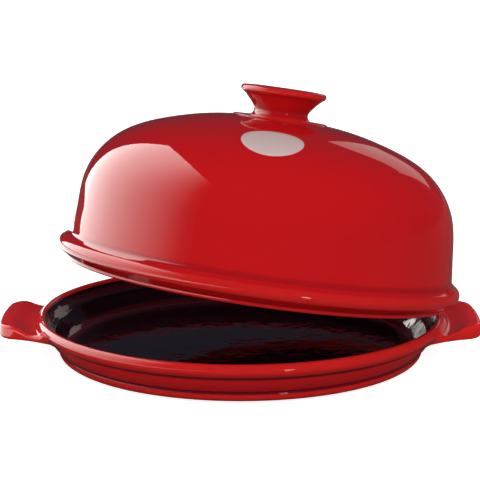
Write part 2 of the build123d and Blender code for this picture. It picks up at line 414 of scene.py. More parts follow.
class Group:
    """A shader node group with named inputs and outputs."""

    def __init__(self, name: str, inputs: dict[str, float | tuple], outputs: dict[str, str]) -> None:
        """Makes the group's sockets.

        Args:
            name: The group's name.
            inputs: Each input's starting value: a number, or a colour of four.
            outputs: Each output's socket type.
        """
        self.tree = bpy.data.node_groups.new(name, "ShaderNodeTree")
        for key, value in inputs.items():
            kind = "NodeSocketColor" if isinstance(value, tuple) else "NodeSocketFloat"
            socket = self.tree.interface.new_socket(key, in_out="INPUT", socket_type=kind)
            socket.default_value = value
        for key, kind in outputs.items():
            self.tree.interface.new_socket(key, in_out="OUTPUT", socket_type=kind)
        self.source = self.tree.nodes.new("NodeGroupInput").outputs
        self.result = self.tree.nodes.new("NodeGroupOutput").inputs

    def give(self, key: str, socket: bpy.types.NodeSocket) -> None:
        """Sends a socket out under an output's name."""
        self.tree.links.new(socket, self.result[key])

    def noise(self, size: str, detail: float, roughness: float) -> bpy.types.NodeSocket:
        """A cloudy value fixed to the piece.

        Args:
            size: The input that holds the size of its clouds, in metres.
            detail: How many finer layers it has.
            roughness: How strong those are.

        Returns:
            The value, about 0 to 1.
        """
        place = add_node(self.tree, "TexCoord", {}).outputs["Object"]
        scale = sum_of(self.tree, "DIVIDE", 1.0, self.source[size])
        feeds = {"Vector": place, "Scale": scale, "Detail": detail, "Roughness": roughness}
        return add_node(self.tree, "TexNoise", feeds).outputs["Fac"]


def surface_group() -> bpy.types.NodeTree:
    """The slow waves and fine dimples of a fired glaze, as heights in metres.

    Returns:
        The group's node tree.
    """
    group = Group("Fired Surface",
                  {"Wave Size": 0.03, "Wave Height": 0.0001, "Dimple Size": 0.004, "Dimple Height": 0.00001},
                  {"Height": "NodeSocketFloat"})
    waves = group.noise("Wave Size", detail=1.0, roughness=0.45)
    dimples = group.noise("Dimple Size", detail=2.0, roughness=0.45)
    waves = sum_of(group.tree, "MULTIPLY", waves, group.source["Wave Height"])
    dimples = sum_of(group.tree, "MULTIPLY", dimples, group.source["Dimple Height"])
    group.give("Height", sum_of(group.tree, "ADD", waves, dimples))
    return group.tree


def glaze_group() -> bpy.types.NodeTree:
    """A glaze's colour: deeper in its hollows, where glaze pools and, on the dish, where shade is painted;
    warmer where it is thin, with faint clouds.

    Returns:
        The group's node tree.
    """
    group = Group("Glaze Depth And Shade",
                  {"Colour": (0.5, 0.0, 0.0, 1.0), "Pooled And Shade": (0.1, 0.0, 0.0, 1.0),
                   "Thin": (0.6, 0.1, 0.0, 1.0), "Cloud Size": 0.05, "Cloud Share": 0.1,
                   "Thick At": 0.5, "Thin At": 0.5},
                  {"Colour": "NodeSocketColor"})
    tree, source = group.tree, group.source
    depth = add_node(tree, "Attribute", {}, attribute_name="hollow").outputs["Fac"]
    # Mask of the hollows: pooled glaze, and on the dish painted shade in the grooves.
    pooled_and_shaded = eased(tree, depth, start=0.02, end=source["Thick At"])
    worn = eased(tree, sum_of(tree, "MULTIPLY", depth, -1.0), start=0.05, end=source["Thin At"])
    cloud = group.noise("Cloud Size", detail=3.0, roughness=0.5)
    share = sum_of(tree, "MULTIPLY", cloud, source["Cloud Share"])
    clouded = mixed(tree, share, source["Colour"], source["Pooled And Shade"])
    thinned = mixed(tree, worn, clouded, source["Thin"])
    group.give("Colour", mixed(tree, pooled_and_shaded, thinned, source["Pooled And Shade"]))
    return tree


FIRED_SURFACE = surface_group()
GLAZE_DEPTH_AND_SHADE = glaze_group()


# Finishes

FULL = 255


def linear(colour: Colour) -> tuple[float, float, float, float]:
    """A colour given as 0 to 255, as the shader wants it."""
    return (*Color([value / FULL for value in colour]).from_srgb_to_scene_linear(), 1.0)


def new_material(name: str) -> tuple[bpy.types.Material, bpy.types.NodeTree, bpy.types.NodeInputs]:
    """Starts a material.

    Args:
        name: Its name.

    Returns:
        The material, its node tree, and its shader's inputs.
    """
    made = bpy.data.materials.new(name)
    made.use_nodes = True
    return made, made.node_tree, made.node_tree.nodes["Principled BSDF"].inputs


@dataclass(frozen=True)
class Glaze:
    """A fired glaze. Colours are 0 to 255, lengths are metres, and hollows' depths millimetres."""

    name: str
    colour: Colour
    # Colour in the hollows: pooled glaze, and on the dish painted shade as well.
    pooled_and_shade: Colour
    thin: Colour
    roughness: float = 0.3
    coat_roughness: float = 0.03
    coat_ior: float = 1.52
    cloud_share: float = 0.15
    # Hollow depth where that colour, with any painted shade, is at full strength.
    pooled_and_shade_at: float = 0.5
    thin_at: float = 0.6
    wave_size: float = 0.035
    wave_height: float = 0.0001
    dimple_size: float = 0.004
    dimple_height: float = 0.000006

    def material(self) -> bpy.types.Material:
        """Builds the material: a coloured body under a clear coat that carries all its gloss.

        Returns:
            The material.
        """
        made, tree, shader = new_material(self.name)
        depth = add_node(tree, "Group", {}, node_tree=GLAZE_DEPTH_AND_SHADE)
        for key, value in (("Colour", linear(self.colour)), ("Pooled And Shade", linear(self.pooled_and_shade)),
                           ("Thin", linear(self.thin)), ("Cloud Share", self.cloud_share),
                           ("Thick At", self.pooled_and_shade_at), ("Thin At", self.thin_at)):
            depth.inputs[key].default_value = value
        surface = add_node(tree, "Group", {}, node_tree=FIRED_SURFACE)
        for key, value in (("Wave Size", self.wave_size), ("Wave Height", self.wave_height),
                           ("Dimple Size", self.dimple_size), ("Dimple Height", self.dimple_height)):
            surface.inputs[key].default_value = value
        bump = add_node(tree, "Bump", {"Height": surface.outputs["Height"], "Distance": 1.0, "Strength": 1.0})
        tree.links.new(depth.outputs["Colour"], shader["Base Color"])
        tree.links.new(bump.outputs["Normal"], shader["Normal"])
        tree.links.new(bump.outputs["Normal"], shader["Coat Normal"])
        shader["Roughness"].default_value = self.roughness
        shader["Coat Weight"].default_value = 1.0
        shader["Coat Roughness"].default_value = self.coat_roughness
        shader["Coat IOR"].default_value = self.coat_ior
        shader["Specular IOR Level"].default_value = 0.0
        return made


@dataclass(frozen=True)
class BareClay:
    """Unglazed fired clay, where the dish stood in the kiln. Colours are 0 to 255, lengths are metres."""

    name: str
    colour: Colour
    speck: Colour
    roughness: float = 0.85
    grain_scale: float = 900.0
    grain_height: float = 0.0002
    specks_from: float = 0.5
    specks_full: float = 0.72

    def material(self) -> bpy.types.Material:
        """Builds the material: matt clay with darker specks.

        Returns:
            The material.
        """
        made, tree, shader = new_material(self.name)
        place = add_node(tree, "TexCoord", {}).outputs["Object"]
        feeds = {"Vector": place, "Scale": self.grain_scale, "Detail": 4.0}
        grain = add_node(tree, "TexNoise", feeds).outputs["Fac"]
        feeds = {"Value": grain, "From Min": self.specks_from, "From Max": self.specks_full}
        specks = add_node(tree, "MapRange", feeds).outputs["Result"]
        bump = add_node(tree, "Bump", {"Height": grain, "Distance": self.grain_height, "Strength": 0.5})
        tree.links.new(mixed(tree, specks, linear(self.colour), linear(self.speck)), shader["Base Color"])
        tree.links.new(bump.outputs["Normal"], shader["Normal"])
        shader["Roughness"].default_value = self.roughness
        return made


RED_GLAZE = Glaze("Red Glaze", colour=(187, 19, 22), pooled_and_shade=(160, 16, 22), thin=(190, 28, 26))
# The dish's glaze darkens far into its grooves and hollows: partly glaze pooling there, partly painted shade
# where the grooves fall in shadow.
POOLED_AND_SHADED_RED_GLAZE = Glaze("Pooled Red Glaze With Painted Shade", colour=(185, 19, 22), pooled_and_shade=(98, 12, 22), thin=(190, 28, 26),
                         pooled_and_shade_at=0.42)
DARK_GLAZE = Glaze("Aubergine Glaze", colour=(34, 12, 22), pooled_and_shade=(16, 6, 12), thin=(70, 18, 24),
                   roughness=0.25, coat_roughness=0.05, wave_size=0.012, wave_height=0.00035,
                   dimple_height=0.00006, thin_at=0.3)
FOOT_CLAY = BareClay("Foot Clay", colour=(196, 158, 128), speck=(150, 104, 78))
PALE_MARK = Glaze("Pale Mark", colour=(206, 182, 180), pooled_and_shade=(180, 150, 150), thin=(206, 182, 180),
                  roughness=0.45, coat_roughness=0.12, cloud_share=0.1, wave_height=0.00005)


def dress(piece: bpy.types.Object, body: Body, slot: Slot, node: str, *finishes: bpy.types.Material) -> None:
    """Gives a piece its finishes and its place on a body.

    Args:
        piece: The piece.
        body: The body that it rides on.
        slot: The record's slot for its main finish. It is not used.
        node: The frame's node that it stands for.
        *finishes: Its materials, in the order of its faces' numbers.
    """
    for finish in finishes:
        piece.data.materials.append(finish)
    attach(piece, body.value)
    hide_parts(node)
    LOG.info("%s: %d faces on %s", piece.name, len(piece.data.polygons), body.value)


# The dish


@dataclass
class Dish:
    """The shallow dish with its two ear handles. Lengths are millimetres."""

    rim_radius: float = 141.2
    rim_height: float = 31.3
    crest_radius: float = 2.5
    rim_bulge: float = 3.2
    rim_bulge_drop: float = 4.8
    neck: Point = (137.7, 21.0)
    below_neck: float = 0.85
    band_corner: Point = (142.0, 22.5)
    band_round: float = 1.2
    band_trim: int = 9
    lower_edge: Point = (127.0, 2.6)
    lower_round: float = 1.4
    lower_trim: int = 7
    groove_share: float = 0.31
    groove_depth: float = 1.2
    groove_round: float = 1.2
    groove_trim: int = 4
    wall_bulge: float = 0.8
    foot_radius: float = 117.0
    foot_inside: float = 108.0
    foot_recess: float = 1.4
    foot_round: float = 0.7
    recess_round: float = 0.5
    ledge_round: float = 0.8
    bare_height: float = 0.3
    floor_level: float = 7.0
    floor_corner: float = 124.1
    floor_radius: float = 9.0
    throat: Point = (132.26, 21.0)
    glaze_coat: float = 0.6
    wall_core: tuple[Point, ...] = ((118.0, 9.0), (118.0, 3.0))
    wall_core_points: int = 30
    handle_reach: float = 170.0
    handle_underside: float = 19.3
    tip_thickness: float = 9.9
    valley_thickness: float = 4.7
    valley_run: float = 5.2
    brow_run: float = 6.0
    end_width: float = 74.0
    waist_width: float = 88.0
    root_width: float = 123.0
    root_depth: float = 22.0
    end_bow: float = 3.0
    corner_radius: float = 14.0
    corner_from: int = 60
    plan_points: int = 200
    edge_radius: float = 2.1
    joint_fillet: float = 3.0
    ring_core: Point = (136.5, 24.0)
    ring_foot: float = 133.6
    ring_cover: float = 1.2
    ring_past: float = 15.0
    side_start: float = 15.0
    side_levels: Point = (22.9, 27.2)
    side_steps: tuple[int, int, int] = (34, 16, 46)
    side_angles: tuple[Place, ...] = ((0, 9, 0.75), (9, 25, 0.32), (25, 30.1, 0.6))
    plain_places: int = 120
    under_root: float = 137.0
    least_reach: float = 146.0
    handle_from: float = 142.0
    handle_over: float = 6.0
    settle_rounds: int = 8
    least_growth: float = 0.2
    finish: Glaze = POOLED_AND_SHADED_RED_GLAZE
    inner_finish: Glaze = DARK_GLAZE
    foot_finish: BareClay = FOOT_CLAY

    def wall_point(self, share: float, bulge: float) -> Point:
        """A place on the outer wall.

        Args:
            share: How far it is from the wall's lower edge to the neck, 0 to 1.
            bulge: How far it stands out from the straight line between them.

        Returns:
            The point.
        """
        run, rise = self.neck[0] - self.lower_edge[0], self.neck[1] - self.lower_edge[1]
        length = hypot(run, rise)
        return (self.lower_edge[0] + run * share + bulge * rise / length,
                self.lower_edge[1] + rise * share - bulge * run / length)

    def wall(self) -> np.ndarray:
        """The outer wall from its lower edge up to the neck, with the groove across it.

        Returns:
            The outline's points.
        """
        groove = self.wall_point(self.groove_share, -self.groove_depth)
        low_middle = self.wall_point(self.groove_share / 2, self.wall_bulge)
        high_middle = self.wall_point((1 + self.groove_share) / 2, self.wall_bulge)
        low = arc(self.lower_edge, low_middle, groove, count=30)
        high = arc(groove, high_middle, self.neck, count=40)
        trim, foot_trim = self.groove_trim, self.lower_trim
        foot_in = (self.foot_radius, self.lower_edge[1])
        foot = rounded(self.lower_edge, foot_in, tuple(low[foot_trim - 1]), self.lower_round)
        soft_groove = rounded(groove, tuple(low[-trim - 1]), tuple(high[trim]), self.groove_round)
        soft_neck = rounded(self.neck, tuple(high[-trim - 1]), self.band_corner, self.groove_round)
        half = len(soft_neck) // 2
        return chain(foot, low[foot_trim:-trim], soft_groove, high[trim:-trim], soft_neck[:half + 1])

    def band(self) -> np.ndarray:
        """The rim band from the neck, round its side, to the top of the crest.

        Returns:
            The outline's points.
        """
        side = (self.rim_radius + self.rim_bulge, self.rim_height - self.rim_bulge_drop)
        crest = (self.rim_radius, self.rim_height)
        outside = curve([self.band_corner, side, crest], (1, 1), (-1, 0), count=60)
        wall_end = self.wall_point(self.below_neck, 0)
        soft_neck = rounded(self.neck, wall_end, self.band_corner, self.band_round)
        corner = rounded(self.band_corner, self.neck, tuple(outside[self.band_trim - 1]), self.band_round)
        return chain(soft_neck[len(soft_neck) // 2:], corner, outside[self.band_trim:])

    def crest(self, count: int) -> np.ndarray:
        """The round inner half of the crest, from its top.

        Args:
            count: How many points it gets.

        Returns:
            The outline's points.
        """
        radius, diagonal = self.crest_radius, self.crest_radius * sqrt(0.5)
        middle = (self.rim_radius - diagonal, self.rim_height - radius + diagonal)
        end = (self.rim_radius - radius, self.rim_height - radius)
        return arc((self.rim_radius, self.rim_height), middle, end, count)

    def inside(self, coat: float) -> np.ndarray:
        """The hollow, from the crest's inner end down to the middle of the floor.

        Args:
            coat: How far behind the glaze's face the outline lies.

        Returns:
            The outline's points.
        """
        end = (self.rim_radius - self.crest_radius + coat, self.rim_height - self.crest_radius)
        throat = (self.throat[0] + coat, self.throat[1])
        belly = ((throat[0] + end[0] + self.crest_radius / 2) / 2,
                 (throat[1] + end[1] - self.crest_radius / 2) / 2)
        floor = (self.floor_corner + coat, self.floor_level - coat)
        bend = rounded(floor, throat, (0, floor[1]), self.floor_radius + coat, count=24)
        slope = refined(chain([throat], bend[:1]), step=2.0)
        flat = refined(chain(bend[-1:], [(0, floor[1])]), step=6.0)
        return chain(arc(end, belly, throat), slope, bend, flat)

    def rim_section(self) -> np.ndarray:
        """The closed section of the wall and rim, for distances."""
        hollow = self.inside(0)[:self.wall_core_points]
        return chain(self.wall(), self.band(), self.crest(count=16), hollow, self.wall_core)

    def handle_top(self) -> np.ndarray:
        """The handle's top face from its brow in to the rim band.

        Returns:
            The outline's points.
        """
        band_radius = self.rim_radius + self.rim_bulge
        brow = (self.handle_reach - self.brow_run, self.handle_underside + self.tip_thickness)
        valley = (band_radius + self.valley_run, self.handle_underside + self.valley_thickness)
        crest = (self.rim_radius, self.rim_height - self.crest_radius)
        return chain(curve([brow, valley], (-1, 0), (-1, 0), count=50),
                     curve([valley, crest], (-1, 0), (-1, 1), count=40))

    def handle_section(self) -> np.ndarray:
        """The closed section of the ring that the handles are cut from; it runs on past their ends.

        Returns:
            The outline's points.
        """
        top = self.handle_top()
        far = self.handle_reach + self.ring_past
        under, brow = self.handle_underside, self.handle_underside + self.tip_thickness
        covered = top[top[:, 0] > self.rim_radius + self.ring_cover]
        return chain([self.ring_core, (self.ring_foot, under), (far, under), (far, brow)], covered)

    def handle_plan(self) -> np.ndarray:
        """The closed plan outline of the handle on +X.

        Returns:
            The outline's points.
        """
        half = self.root_width / 2
        root = (sqrt((self.rim_radius - self.crest_radius) ** 2 - half**2), half)
        waist = (self.rim_radius + self.rim_bulge, self.waist_width / 2)
        shoulder = (self.handle_reach - self.end_bow, self.end_width / 2)
        side = arc(root, waist, shoulder, self.plan_points)
        end = arc(shoulder, (self.handle_reach, 0), (shoulder[0], -shoulder[1]), self.plan_points)
        bend, leaves, meets = self.plan_corner(side, end)
        upper = chain(side[:leaves], bend, end[meets:self.plan_points // 2])
        lower = upper[::-1] * [1, -1]
        depth = root[0] - self.root_depth
        return chain(upper, lower, [(depth, -half), (depth, half)])[::-1]

    def plan_corner(self, side: np.ndarray, end: np.ndarray) -> tuple[np.ndarray, int, int]:
        """Rounds the handle's corner in plan.

        Args:
            side: The handle's side, up to the sharp corner.
            end: The handle's end, from the sharp corner on.

        Returns:
            The round corner's points, and where it leaves the side and meets the end.
        """
        best = None
        for i in range(self.corner_from, len(side) - 2, 2):
            run = side[i + 1] - side[i]
            normal = np.array([run[1], -run[0]]) / np.hypot(*run)
            for flip in (1, -1):
                centre = side[i] + flip * normal * self.corner_radius
                gaps = np.hypot(*(end - centre).T)
                j = int(gaps.argmin())
                miss = abs(gaps[j] - self.corner_radius)
                if centre[1] < side[i][1] and (best is None or miss < best[0]):
                    best = (miss, i, j, centre)
        _, i, j, centre = best
        toward = (side[i] - centre) / self.corner_radius + (end[j] - centre) / self.corner_radius
        through = centre + toward / np.hypot(*toward) * self.corner_radius
        return arc(tuple(side[i]), tuple(through), tuple(end[j]), count=30), i, j

    def body_distance(self, places: np.ndarray) -> Field:
        """How far places lie outside the dish with its handles.

        Args:
            places: The places, one row of three each.

        Returns:
            The distances, below 0 inside, and their directions of growth.
        """
        radius = np.hypot(places[:, 0], places[:, 1])
        out = places[:, :2] / radius[:, None]
        flat = np.stack([radius, places[:, 2]], axis=1)

        def around(section: np.ndarray) -> Field:
            """The distances from a section taken round the upright axis."""
            value, grow = outline_distance(flat, section)
            return value, np.column_stack([grow[:, :1] * out, grow[:, 1]])

        value, grow = outline_distance(places[:, :2], self.handle_plan())
        plan = value, np.column_stack([grow, np.zeros(len(grow))])
        handles = shared(around(self.handle_section()), plan, self.edge_radius)
        return joined(around(self.rim_section()), handles, self.joint_fillet)

    def side_foot(self) -> Point:
        """Where the side with its handles starts on the plain wall."""
        wall = self.wall()
        return np.interp(self.side_start, wall[:, 1], wall[:, 0]), self.side_start

    def plain_side(self) -> list[np.ndarray]:
        """The outline of the side where it has no handle.

        Returns:
            Three runs: the wall and the foot of the band, the band's side, and the crest.
        """
        wall, band = self.wall(), self.band()
        foot_end, side_end = self.side_levels
        level = band[:, 1]
        low = chain([self.side_foot()], wall[wall[:, 1] > self.side_start], band[level < foot_end])
        side = band[(level >= foot_end) & (level < side_end)]
        return [low, chain(low[-1:], side), chain(side[-1:], band[level >= side_end])]

    def handle_side(self, reach: float) -> list[np.ndarray]:
        """The outline of the side through a handle.

        Args:
            reach: The radius that the handle reaches to there.

        Returns:
            Three runs, like the plain side's: under the handle, up its end, and back over its top.
        """
        top = self.handle_top()[::-1]
        level = np.interp(reach, top[:, 0], top[:, 1])
        under = self.handle_underside
        inner = chain([self.side_foot()], [(self.under_root, under)], [(reach, under)])
        rise = chain(inner[-1:], [(reach, level)])
        back = top[top[:, 0] < reach][::-1]
        return [inner, rise, chain(rise[-1:], back, [(self.rim_radius, self.rim_height)])]

    def stepped(self, runs: list[np.ndarray]) -> np.ndarray:
        """Three runs as one outline, each with its own fixed number of points."""
        return np.vstack([spaced(run, n)[k > 0:] for k, (run, n) in enumerate(zip(runs, self.side_steps))])

    def sides(self) -> tuple[np.ndarray, np.ndarray]:
        """The outer side at angles from the handle's middle to past its root.

        Returns:
            The angles in radians, and for each the points of its side.
        """
        angles = np.radians(np.concatenate([np.arange(*run) for run in self.side_angles]))
        plan = self.handle_plan()
        upper = plan[(plan[:, 1] > 0) & (plan[:, 0] > plan[:, 0].min())]
        bearing = np.arctan2(upper[:, 1], upper[:, 0])
        order = np.argsort(bearing)
        reach = np.interp(angles, bearing[order], np.hypot(*upper.T)[order])
        reach[angles > np.arctan2(self.root_width / 2, upper[:, 0].min())] = 0
        plain = self.stepped(self.plain_side())
        guess = []
        for angle, far in zip(angles, reach):
            full = self.stepped(self.handle_side(max(far, self.least_reach)))
            share = np.clip((far - self.handle_from) / self.handle_over, 0, 1)
            share = share * share * (3 - 2 * share)
            flat = plain * (1 - share) + full * share
            guess.append(ring(flat[:, 0], flat[:, 1], np.full(len(flat), angle)))
        places = np.vstack(guess)
        for _ in range(self.settle_rounds):
            value, grow = self.body_distance(places)
            size = np.maximum((grow**2).sum(1), self.least_growth)
            places = places - (value / size)[:, None] * grow
        return angles, places.reshape(len(angles), -1, 3)

    def foot(self) -> np.ndarray:
        """The underside: the recess in its middle, the foot ring, and the ledge out to the wall.

        Returns:
            The outline's points.
        """
        inner, outer = self.foot_inside, self.foot_radius
        recess, ledge = self.foot_recess, self.lower_edge[1]
        return chain([(0, recess)],
                     rounded((inner, recess), (0, recess), (inner, 0), self.recess_round, count=5),
                     rounded((inner, 0), (inner, recess), (outer, 0), self.foot_round, count=5),
                     rounded((outer, 0), (inner, 0), (outer, ledge), self.foot_round, count=5),
                     rounded((outer, ledge), (outer, 0), self.lower_edge, self.ledge_round, count=5))

    def shell(self) -> bpy.types.Object:
        """The red body: the foot, the wall, the rim with its handles, and the clay under the dark glaze.

        Returns:
            The object, with the faces that it stands on given the second finish.
        """
        wall = self.wall()
        below = refined(chain(self.foot(), wall[wall[:, 1] < self.side_start]), step=3.0)
        above = chain(self.crest(count=14)[1:], self.inside(self.glaze_coat))
        angles, sides = self.sides()
        around, pick, shift, way = self.round_the_dish(angles)
        chosen = sides[pick]
        radii = np.hypot(chosen[..., 0], chosen[..., 1])
        spin = shift[:, None] + way[:, None] * np.arctan2(chosen[..., 1], chosen[..., 0])
        rings = [ring(radius, height, around) for radius, height in below[1:]]
        rings += [ring(radii[:, k], chosen[:, k, 2], spin[:, k]) for k in range(chosen.shape[1])]
        rings += [ring(radius, height, around) for radius, height in above[:-1]]
        last = sides[-1]
        side = np.column_stack([np.hypot(last[:, 0], last[:, 1]), last[:, 2]])
        depth = np.r_[0, hollows(chain(below[1:], side, above[:-1])), 0]
        body = ring_mesh("dish_body", rings, (self.foot_recess, above[-1, 1]), depth)
        for face in body.data.polygons:
            face.material_index = int(face.center.z < self.bare_height * MM)
        return body

    def round_the_dish(self, angles: np.ndarray) -> tuple[np.ndarray, ...]:
        """Where the outlines stand round the dish.

        Args:
            angles: The angles of the outlines that were worked out, from a handle's middle.

        Returns:
            The angle of each place, the outline that it takes, how far that outline is turned, and 1, or
            -1 where it is mirrored.
        """
        plain = np.linspace(angles[-1], pi - angles[-1], self.plain_places)[1:-1]
        last = len(angles) - 1
        half = [(a, i, 0.0, 1.0) for i, a in enumerate(angles)]
        half += [(a, last, a - angles[-1], 1.0) for a in plain]
        half += [(pi - a, i, pi, -1.0) for i, a in reversed(list(enumerate(angles)))]
        other = [(2 * pi - a, i, 2 * pi - shift, -way) for a, i, shift, way in reversed(half[1:-1])]
        return tuple(np.array(column) for column in zip(*half, *other))

    def lining(self) -> bpy.types.Object:
        """The dark glaze coat of the inside."""
        outline = chain(self.inside(self.glaze_coat)[::-1], self.inside(0))
        return turned("dish_inner_glaze", outline[::-1], turns=360)

    def build(self) -> None:
        """Builds and dresses the dish's pieces."""
        dress(self.shell(), Body.DISH, Slot.OUTER, "base_dish", self.finish.material(),
              self.foot_finish.material())
        dress(self.lining(), Body.DISH, Slot.INNER, "dish_lining", self.inner_finish.material())


# The lid


@dataclass
class Lid:
    """The domed lid with its knob and mark.

    Lengths are millimetres. Heights start at the flange's widest circle, and the knob's where it is joined.
    """

    middle: Place = (12.95, -5.37, 64.172)
    lean: float = 9.99
    lean_turn: float = 36.0
    wall_radius: float = 135.9
    wall_foot: float = 8.9
    wall_thickness: float = 5.8
    wall_fillet: float = 3.5
    draft: float = 5.0
    height: float = 105.7
    dome: tuple[Point, ...] = ((0.986, 0.246), (0.949, 0.520), (0.818, 0.757), (0.576, 0.908), (0.288, 0.988))
    dome_from: float = 11.0
    dome_to: float = 34.5
    shoulder: Point = (139.6, 5.7)
    flange_radius: float = 142.5
    flange_trim: int = 3
    chin: Point = (141.1, -2.9)
    chin_round: float = 1.2
    lip_radius: float = 134.5
    lip_root: float = -7.4
    lip_hollow: float = 0.7
    lip_end: float = -10.0
    lip_inner_round: float = 2.0
    lip_outer_round: float = 1.98
    lining_end: float = -3.0
    glaze_coat: float = 0.6
    seat_radius: float = 33.0
    seat_level: float = 105.9
    seat_run: float = 0.4
    seat_from: float = 36.0
    seat_hollow: float = 0.5
    seat_round: float = 0.6
    knob_root: float = -0.4
    knob_foot: Point = (21.4, 0.2)
    knob_neck: Point = (19.2, 3.2)
    knob_flare: Point = (0.435, 0.605)
    knob_stem: float = 16.1
    knob_radius: float = 30.2
    knob_disc: float = 4.8
    knob_under_run: float = 1.8
    knob_widest: float = 0.54
    knob_top_run: float = 2.6
    knob_crown: float = 0.5
    stem_start: Point = (-1.0, 0.9)
    stem_end: Point = (1.0, 0.72)
    crown_start: Point = (-1.0, 0.1)
    mark_share: float = 0.538
    mark_turn: float = -129.8
    mark_roll: float = 11.0
    mark_size: Point = (42.0, 38.6)
    mark_thickness: float = 0.3
    mark_edge: float = 0.9
    mark_edge_drop: float = 0.9
    mark_rings: int = 14
    mark_turns: int = 96
    slope_reach: float = 0.5
    longest_run: float = 3.0
    finish: Glaze = RED_GLAZE
    inner_finish: Glaze = DARK_GLAZE
    mark_finish: Glaze = PALE_MARK

    def place(self) -> Matrix:
        """How the lid leans on the rim, in metres."""
        lean = Matrix.Rotation(radians(self.lean_turn), 4, "Z") @ Matrix.Rotation(radians(self.lean), 4, "Y")
        return Matrix.Translation(Vector(self.middle) * MM) @ lean

    def dome_line(self, depth: float = 0.0, count: int = 110) -> np.ndarray:
        """One face of the dome, from the foot of its wall up to the crown.

        Args:
            depth: How far it lies inside the outer face.
            count: How many points it gets.

        Returns:
            The outline's points.
        """
        radius, height = self.wall_radius - depth, self.height - depth
        slope = radians(self.draft)
        inner = [(radius * across, height * up) for across, up in self.dome]
        points = [(radius, self.wall_foot), *inner, (0, height)]
        return curve(points, (-sin(slope), cos(slope)), (-1, 0), count)

    def clay(self) -> bpy.types.Object:
        """The lid's red body: lip, flange, wall and dome, with the low boss under the knob.

        Returns:
            The object.
        """
        outer = self.dome_line()
        inside = self.wall_radius - self.wall_thickness
        behind = self.dome_line(self.wall_thickness - self.glaze_coat)
        flange = arc(self.shoulder, (self.flange_radius, 0), self.chin, count=30)
        trim = self.flange_trim
        root, end = (self.lip_radius, self.lip_root), (self.lip_radius, self.lip_end)
        up_wall = tuple(outer[2])
        wall_foot = rounded((self.wall_radius, self.wall_foot), tuple(flange[0]), up_wall, self.wall_fillet)
        seat = np.interp(self.seat_radius, outer[::-1, 0], outer[::-1, 1])
        edge = (self.seat_radius, self.seat_level)
        down_dome = tuple(outer[outer[:, 0] > self.seat_from][-1])
        line = chain(
            [(inside + self.glaze_coat, self.lining_end), (inside, self.lining_end)],
            rounded((inside, self.lip_end), (inside, 0), end, self.lip_inner_round),
            rounded(end, (inside, self.lip_end), root, self.lip_outer_round),
            rounded(root, end, self.chin, self.lip_hollow, count=6),
            rounded(self.chin, root, tuple(flange[-trim]), self.chin_round),
            flange[::-1][trim:],
            wall_foot,
            outer[(outer[:, 0] > self.dome_to) & (outer[:, 1] > self.dome_from)],
            rounded((self.seat_radius + self.seat_run, seat), down_dome, edge, self.seat_hollow, count=5),
            rounded(edge, (self.seat_radius, seat), (0, self.seat_level), self.seat_round, count=6),
            [(0, self.seat_level)])
        return turned("lid_body", chain(behind[::-1], refined(line, self.longest_run)), turns=360)

    def lining(self) -> bpy.types.Object:
        """The dark glaze coat of the inside.

        Returns:
            The object.
        """
        inside = self.wall_radius - self.wall_thickness
        face = self.dome_line(self.wall_thickness)
        back = self.dome_line(self.wall_thickness - self.glaze_coat)
        foot = [(inside, self.lining_end), (inside + self.glaze_coat, self.lining_end)]
        outline = refined(chain(face[::-1], foot, back), self.longest_run)
        return turned("lid_inner_glaze", outline, turns=300)

    def knob(self) -> bpy.types.Object:
        """The trumpet knob.

        Returns:
            The object.
        """
        under, top = self.knob_stem, self.knob_stem + self.knob_disc
        chin = (self.knob_radius - self.knob_under_run, under)
        edge = (self.knob_radius - self.knob_top_run, top)
        widest = (self.knob_radius, under + self.knob_widest * self.knob_disc)
        flare = tuple(a + share * (b - a) for a, b, share in zip(self.knob_neck, chin, self.knob_flare))
        stem = curve([self.knob_foot, self.knob_neck, flare, chin], self.stem_start, self.stem_end, count=50)
        side = arc(chin, widest, edge)
        crown = curve([edge, (0, top + self.knob_crown)], self.crown_start, (-1, 0), count=24)
        root = [(0, self.knob_root), (self.knob_foot[0], self.knob_root)]
        line = chain(root, refined(stem, step=1.0), side[1:], crown)
        return turned("knob", line + [0, self.seat_level], turns=240)

    def mark(self) -> bpy.types.Object:
        """The plain oval mark, a thin skin on the dome.

        Returns:
            The object.
        """
        line = self.dome_line(count=400)
        roll = radians(self.mark_roll)
        share = np.repeat(np.arange(self.mark_rings + 1) / self.mark_rings, self.mark_turns)
        angle = np.tile(2 * pi * np.arange(self.mark_turns) / self.mark_turns, self.mark_rings + 1)
        rim = np.maximum(0.0, share - self.mark_edge) / (1 - self.mark_edge)
        lift = self.mark_thickness * (1 - self.mark_edge_drop * rim**2)
        a = share * self.mark_size[0] / 2 * np.cos(angle)
        b = share * self.mark_size[1] / 2 * np.sin(angle)
        side, up = a * cos(roll) - b * sin(roll), a * sin(roll) + b * cos(roll)
        place = self.mark_share * lengths(line)[-1] + up
        on_dome = sampled(line, place)
        ahead = sampled(line, place + self.slope_reach) - sampled(line, place - self.slope_reach)
        normal = np.stack([ahead[:, 1], -ahead[:, 0]], axis=1) / np.hypot(*ahead.T)[:, None]
        radius, height = (on_dome + normal * lift[:, None]).T
        points = ring(radius, height, radians(self.mark_turn) + side / on_dome[:, 0])
        faces = ring_faces(self.mark_rings + 1, self.mark_turns)
        return mesh_object("oval_mark", points, faces, np.zeros(len(points)))

    def build(self) -> None:
        """Builds and dresses the lid's pieces."""
        red = self.finish.material()
        dark = self.inner_finish.material()
        for piece, slot, node, finish in ((self.clay(), Slot.OUTER, "lid_dome", red),
                                          (self.lining(), Slot.INNER, "lid_lining", dark),
                                          (self.knob(), Slot.OUTER, "lid_knob", red),
                                          (self.mark(), Slot.MARK, "mark_oval", self.mark_finish.material())):
            piece.data.transform(self.place())
            dress(piece, Body.LID, slot, node, finish)


# The studio

WHITE = (1.0, 1.0, 1.0, 1.0)


